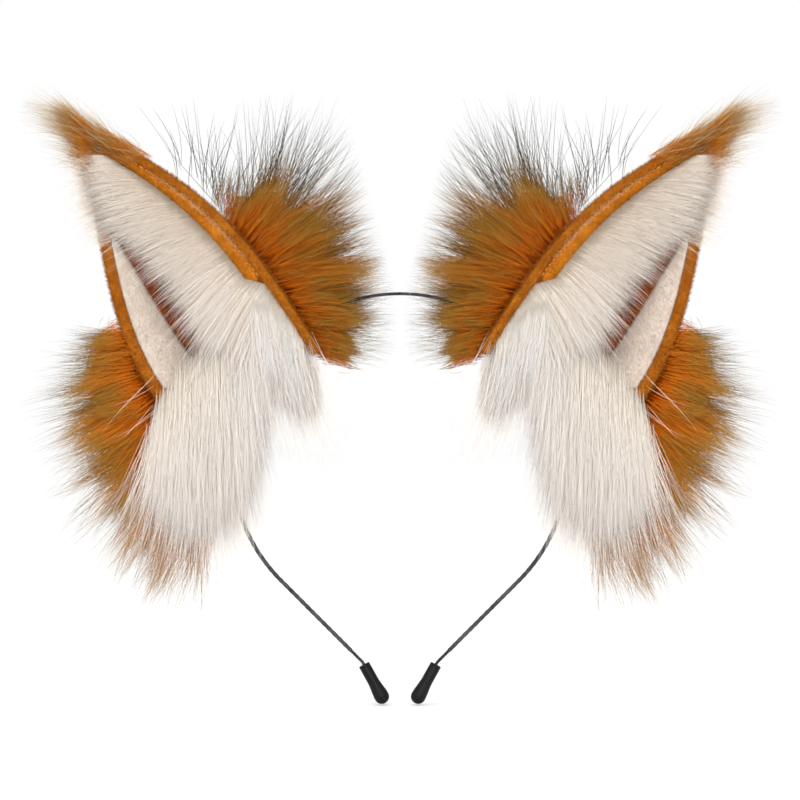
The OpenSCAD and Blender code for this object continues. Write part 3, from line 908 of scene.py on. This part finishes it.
def make_outer_fur():
    """The puff outside the ear, which runs down behind the white fur. Rows: share, place, aim, length."""
    rows = [[0, 106, -14, 90, 7], [0.12, 105, -19, 96, 13], [0.3, 102, -28, 102, 22], [0.5, 97, -41, 116, 32],
            [0.68, 91, -55, 133, 36], [0.84, 83, -66, 152, 39], [1, 72, -73, 172, 40]]
    for name, seed, count, knots, share, shift, locks in (
            ("outer_fur_under", 31, 6500, 4, 0.76, (-5, 3), 420),
            ("outer_fur_over", 32, 6800, 6, 1.2, (-3, 8), 140)):
        rng = np.random.default_rng(seed)
        t = rng.beta(1.3, 0.95, count)
        x, z, aim, length = table(rows, t)
        z = z + rng.normal(0, 2.5, count)
        across = rng.uniform(-1, 1, count)
        step = rng.uniform(*shift, count)
        root = np.stack([x, 6 + 8 * across, z], -1) + step[:, None] * heading(aim)
        length = (length * share - step) * (1 - 0.2 * across ** 2) * rng.uniform(0.66, 1.0, count)
        aim = aim + rng.normal(0, 8, count)
        start, end = round_off(aim, across, 0.65, 0.1, rng)
        fur(name, rng, root, start, end, np.maximum(length, 4), FOX_FUR, "outer_fur", knots,
            locks=locks, pull=0.95, spread=0.03, uneven=0.38)
    rng = np.random.default_rng(33)
    count = 1100
    t = rng.random(count)
    x, z, aim, length = table(rows, t)
    root = np.stack([x, rng.uniform(-2, 14, count), z], -1)
    aim = aim + rng.normal(0, 9, count)
    length = (length + 11) * rng.uniform(0.75, 1.15, count)
    start, end = round_off(aim, rng.normal(0, 0.4, count), 0.5, 0.1, rng)
    fur("outer_guard_hairs", rng, root, start, end, length, OLIVE_FUR, "outer_fur", 7,
        (0.05, 0.085), locks=150, pull=0.7, spread=0.1, uneven=0.2, wave=0.015)


def make_back_fur():
    """Long fur that grows from the foot of the ear's back and hangs over the pads."""
    rng = np.random.default_rng(41)
    count = 6600
    u = rng.uniform(-0.98, 0.98, count)
    v = rng.beta(1.0, 1.5, count) * 0.2
    root = ear_at(u, v, 3.0)
    aim = np.interp(u, [-1, 0, 1], [214, 182, 142]) + rng.normal(0, 9, count)
    start = lean(aim, 0.6 + rng.normal(0, 0.15, count))
    end = lean(aim, -0.25 + rng.normal(0, 0.12, count))
    length = np.interp(u, [-1, -0.4, 0.3, 1], [20, 33, 42, 30]) * rng.uniform(0.65, 1.0, count)
    fur("back_fur_strands", rng, root, start, end, length, FOX_FUR, "back_fur", 5, locks=300,
        pull=0.85, spread=0.12, uneven=0.2)


def hanging(fan, back):
    """Directions down, turned outward by fan and towards the back by back."""
    return unit(np.stack([fan, back, np.full(len(fan), -1.0)], -1))


def make_front_fur():
    """The white fur in front of the base: a panel of roots whose strands fall over each other.
    Rows of top and low: outward place, and the height of the highest roots or of the strands' ends."""
    top = [[30, -31], [34, -23], [39, -15], [45, -6], [53, 0], [59, -1], [66, -8], [76, -18], [84, -27],
           [92, -40]]
    low = [[30, -38], [35, -50], [40, -52], [47, -46], [54, -36], [55, -60], [57, -80], [61, -92], [72, -99],
           [82, -96], [90, -88], [98, -76]]
    lowest = -119
    for name, seed, count, knots, behind, finish, locks, share, inner, outer in (
            ("front_fur_under", 51, 9000, 4, 4.0, GREY_WHITE_FUR, 600, 0.95, 33, 91),
            ("front_fur_middle", 52, 8000, 5, 2.0, WHITE_FUR, 520, 1.0, 33, 91),
            ("front_fur_lock", 55, 2600, 6, 0.0, GREY_WHITE_FUR, 160, 1.0, 33, 62),
            ("front_fur_over", 53, 5200, 6, 0.0, WHITE_FUR, 360, 1.0, 47, 91)):
        rng = np.random.default_rng(seed)
        x = mix(inner, outer, rng.beta(1.15, 1.15, count))
        q = rng.beta(0.95, 1.0, count)
        z_top, = table(top, x)
        z_low, = table(low, x)
        z = mix(z_top - 12 * rng.random(count) ** 1.5 + 1, np.minimum(z_low + 42, z_top - 3), q)
        bulge = np.sin(np.pi * np.clip((x - 26) / 74, 0, 1))
        y = -7.0 - 6.5 * bulge * mix(0.05, 1, q) + behind
        root = np.stack([x + rng.normal(0, 1.4, count), y, z], -1)
        length = np.clip(z - z_low, 14, 56) * share * rng.uniform(0.66, 1.05, count)
        fan = np.interp(x, [30, 40, 54, 62, 78, 91], [-0.08, -0.12, -0.17, -0.09, 0.0, 0.06])
        parted = np.interp(x, [44, 54, 55, 61], [0.0, -0.22, 0.07, 0.0]) * np.clip((-z - 8) / 22, 0, 1)
        fan = fan + parted + rng.normal(0, 0.07, count)
        start = hanging(fan * 0.8, rng.normal(-0.42, 0.12, count))
        end = hanging(fan * 1.2 + rng.normal(0, 0.09, count), rng.normal(0.12, 0.1, count))
        fur(name, rng, root, start, end, length, finish, "front_fur", knots, (0.045, 0.072),
            locks=locks, pull=0.42, spread=0.5, uneven=0.16, wave=0.006)
    rng = np.random.default_rng(54)
    count = 1400
    x = mix(33, 96, rng.random(count))
    z_low, = table(low, x)
    root = np.stack([x, rng.uniform(-16, -6, count), z_low + rng.uniform(14, 32, count)], -1)
    fan = np.interp(x, [31, 62, 96], [-0.35, -0.1, 0.3]) + rng.normal(0, 0.18, count)
    start = hanging(fan, rng.normal(-0.2, 0.2, count))
    end = hanging(fan * 1.3, rng.normal(0, 0.2, count))
    length = np.minimum(rng.uniform(24, 46, count), root[:, 2] - lowest)
    fur("front_wisps", rng, root, start, end, length, WHITE_FUR, "front_fur", 6, (0.04, 0.065),
        locks=160, pull=0.6, spread=0.25)


def along_cup(t):
    """The height v in the cup of a place along the inner edge."""
    return (t - SHELL_START) / (1 - SHELL_START)


def make_inner_fur():
    """The white fur that springs from the inner rim and sweeps over the cup.
    Rows: place along the inner edge, aim, length, and how far from the rim the roots reach."""
    rows = [[0.06, 184, 22, 5], [0.14, 173, 34, 5], [0.22, 160, 40, 6], [0.3, 148, 36, 7],
            [0.36, 136, 29, 8], [0.44, 124, 26, 9], [0.55, 114, 27, 10], [0.66, 106, 30, 12],
            [0.77, 101, 24, 12], [0.85, 97, 16, 8], [0.9, 93, 9, 5]]
    for name, seed, count, knots, share, first, last, finish, fall in (
            ("inner_fur_under", 61, 8000, 4, 1.0, 0.06, 0.9, INNER_FUR, 0.0),
            ("inner_fur_over", 62, 6900, 5, 0.45, 0.18, 0.9, INNER_FUR, 0.0),
            ("inner_fur_fall", 63, 2700, 6, 0.6, 0.05, 0.5, WHITE_FUR, 1.0)):
        rng = np.random.default_rng(seed)
        t = mix(first, last, rng.beta(1, 1.15 + fall, count))
        forward = fall * 2.4 * (last - t)
        v = along_cup(t)
        aim, length, room = table(rows, t)
        rim = INNER_FOLD_W - 0.8 + facing_width(v) * np.interp(t, [0.26, 0.32], [0, 1])
        w = rim + (room + 6 * forward) * share * rng.random(count) ** 1.6
        root = ear_at(from_inner(v, w), v, 0.0)
        root[:, 1] = INNER_EDGE_Y * (1 - v) - 0.8 - rng.random(count) * (1.2 + 2 * forward)
        aim = aim + rng.normal(0, 5, count)
        length = length * np.clip(1 - 0.5 * (w - rim) / 24, 0.5, 1) * rng.uniform(0.72, 1.05, count)
        start = lean(aim - 7, rng.normal(-0.36, 0.1, count))
        end = lean(aim + 7, mix(0.26, 0.06, np.clip(v, 0, 1)) - 0.2 * forward + rng.normal(0, 0.08, count))
        fur(name, rng, root, start, end, length + 4 * forward, finish, "inner_fur", knots,
            (0.05, 0.08), locks=count // 20, pull=0.55, spread=0.3, uneven=0.18, wave=0.008)
    rng = np.random.default_rng(65)
    count = 170
    t = mix(0.26, 0.7, rng.random(count))
    v = along_cup(t)
    aim, length, room = table(rows, t)
    root = ear_at(from_inner(v, INNER_FOLD_W + facing_width(v) + room * rng.random(count)), v, 0.0)
    root[:, 1] = INNER_EDGE_Y * (1 - v) - rng.uniform(1, 3, count)
    aim = aim + rng.normal(0, 9, count)
    length = length * rng.uniform(1.0, 1.35, count)
    fur("inner_wisps", rng, root, lean(aim - 5, -0.3), lean(aim + 9, 0.2), length, WHITE_FUR,
        "inner_fur", 6, (0.045, 0.07), locks=60, pull=0.5, spread=0.3)


def make_spill():
    """Fine white hairs that spill over the outer edge near the tip, and a few that cross the outer rim."""
    rng = np.random.default_rng(64)
    count = 1000
    v = mix(0.62, 0.92, rng.beta(1.2, 1.2, count))
    u = rng.uniform(0.55, 1.0, count)
    root = ear_at(u, v, 0.0)
    root[:, 1] = OUTER_EDGE_Y * (1 - v) - rng.uniform(2.4, 4.2, count)
    aim = 112 + rng.normal(0, 12, count)
    length = np.interp(v, [0.62, 0.7, 0.85], [5, 12, 13]) * rng.uniform(0.45, 1.2, count)
    start = lean(aim - 8, rng.normal(-0.25, 0.15, count))
    end = lean(aim + 10, rng.normal(0.15, 0.15, count))
    fur("edge_spill", rng, root, start, end, length, INNER_FUR, "inner_fur", 5, (0.04, 0.065),
        locks=110, pull=0.5, spread=0.2)
    count = 7
    root = np.stack([rng.uniform(low, high, count) for low, high in ((84, 95), (-12, -10), (-44, -14))], -1)
    aim = 136 + rng.normal(0, 9, count)
    fur("stray_hairs", rng, root, lean(aim, -0.2), lean(aim + rng.normal(0, 12, count), 0.1),
        rng.uniform(16, 32, count), WHITE_FUR, "front_fur", 8, (0.045, 0.06))


def make_tip_fur():
    """Short rust fur over the gathered tip, and long pale hairs that stand out of it."""
    rng = np.random.default_rng(71)
    for name, count, locks, finish, tall, short, thick, wide in (
            ("tip_fur_coat", 3000, 80, TIP_COAT, 15, 7, (0.055, 0.09), 9),
            ("tip_fur_hairs", 1500, 55, TIP_FUR, 29, 15, (0.04, 0.07), 14)):
        v = 1 - rng.random(count) ** 1.3 * 0.2
        u = rng.uniform(-1.25, 1.1, count)
        root = ear_at(u, v, rng.uniform(-5.5, 3, count))
        aim = 61 + u * 8 + rng.normal(0, wide, count)
        way = np.maximum(heading(aim), 0.05)
        room = np.min(((object_high + TIP_REACH - root) / way)[:, [0, 2]], 1)
        length = np.minimum(np.interp(v, [0.8, 0.84, 1], [3, short, tall]), room)
        length = length * rng.uniform(0.6, 1.0, count)
        start = lean(aim + u * 5, rng.normal(0, 0.25, count))
        end = lean(aim - u * 3 + rng.normal(0, 5, count), rng.normal(0, 0.15, count))
        fur(name, rng, root, start, end, length, finish, "tip_fur", 5, thick, locks=locks,
            pull=0.85, spread=0.1, uneven=0.3)


def dress_kept_nodes():
    """The felt and the binding thread stay as they are on the CAD part, with their finishes."""
    for side in ("left", "right"):
        for node, finish in (("upper_pad", GREY_FELT), ("under_pad", GREY_FELT), ("ear_stiffener", GREY_FELT),
                             ("pad_stitches", BLACK_THREAD)):
            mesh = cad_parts[f"{side}_{node}"].data
            mesh.materials.clear()
            mesh.materials.append(finish)


# ---- stage ----

LIT_POINT = (0, 0, -0.04)


def make_stage():
    """A plain white floor just below the caps, soft light all round and two large lamps in front."""
    scene = bpy.context.scene
    scene.view_settings.view_transform = "Standard"
    world = bpy.data.worlds.new("studio")
    world.use_nodes = True
    background = world.node_tree.nodes["Background"]
    background.inputs["Color"].default_value = (1, 1, 1, 1)
    background.inputs["Strength"].default_value = 1.0
    scene.world = world
    half_size, drop = 6.0, 0.0005
    corners = np.array([[-1, -1, 0], [1, -1, 0], [1, 1, 0], [-1, 1, 0]]) * half_size
    corners[:, 2] = cad_box[0][2] - drop
    floor = mesh_piece("studio_floor", corners, [np.array([[0, 1, 2, 3]])], None, floor_finish())
    for name, place, power, width in (("key_light", (-0.6, -1.6, 1.3), 18.0, 1.8),
                                      ("front_light", (0.4, -2.4, 0.2), 42.0, 2.0)):
        light = bpy.data.lights.new(name, "AREA")
        light.energy, light.size = power, width
        lamp = bpy.data.objects.new(name, light)
        lamp.location = place
        aim = np.array(LIT_POINT) - np.array(place)
        tilt = math.atan2(math.hypot(aim[0], aim[1]), -aim[2])
        lamp.rotation_euler = (tilt, 0, math.atan2(aim[0], -aim[1]) + math.pi)
        scene.collection.objects.link(lamp)


def make_camera():
    """Straight in front of the headband, from far enough away to flatten it."""
    distance = 1.4
    share_of_width = 0.95
    below_middle = 0.0019
    scene = bpy.context.scene
    data = bpy.data.cameras.new("camera")
    width = (object_high[0] - object_low[0]) * MM / share_of_width
    data.sensor_width = 36
    data.lens = data.sensor_width * distance / width
    camera = bpy.data.objects.new("camera", data)
    middle_z = (cad_box[0][2] + cad_box[1][2]) / 2 - below_middle
    camera.location = (0, -distance, middle_z)
    camera.rotation_euler = (math.pi / 2, 0, 0)
    scene.collection.objects.link(camera)
    scene.camera = camera


make_camera()
make_stage()
make_wires()
make_thread_wrap()
make_end_caps()
make_ears()
make_rim_stitches()
make_seam_fray()
make_crown_fur()
make_guard_hairs()
make_outer_fur()
make_back_fur()
make_front_fur()
make_inner_fur()
make_spill()
make_tip_fur()
dress_kept_nodes()
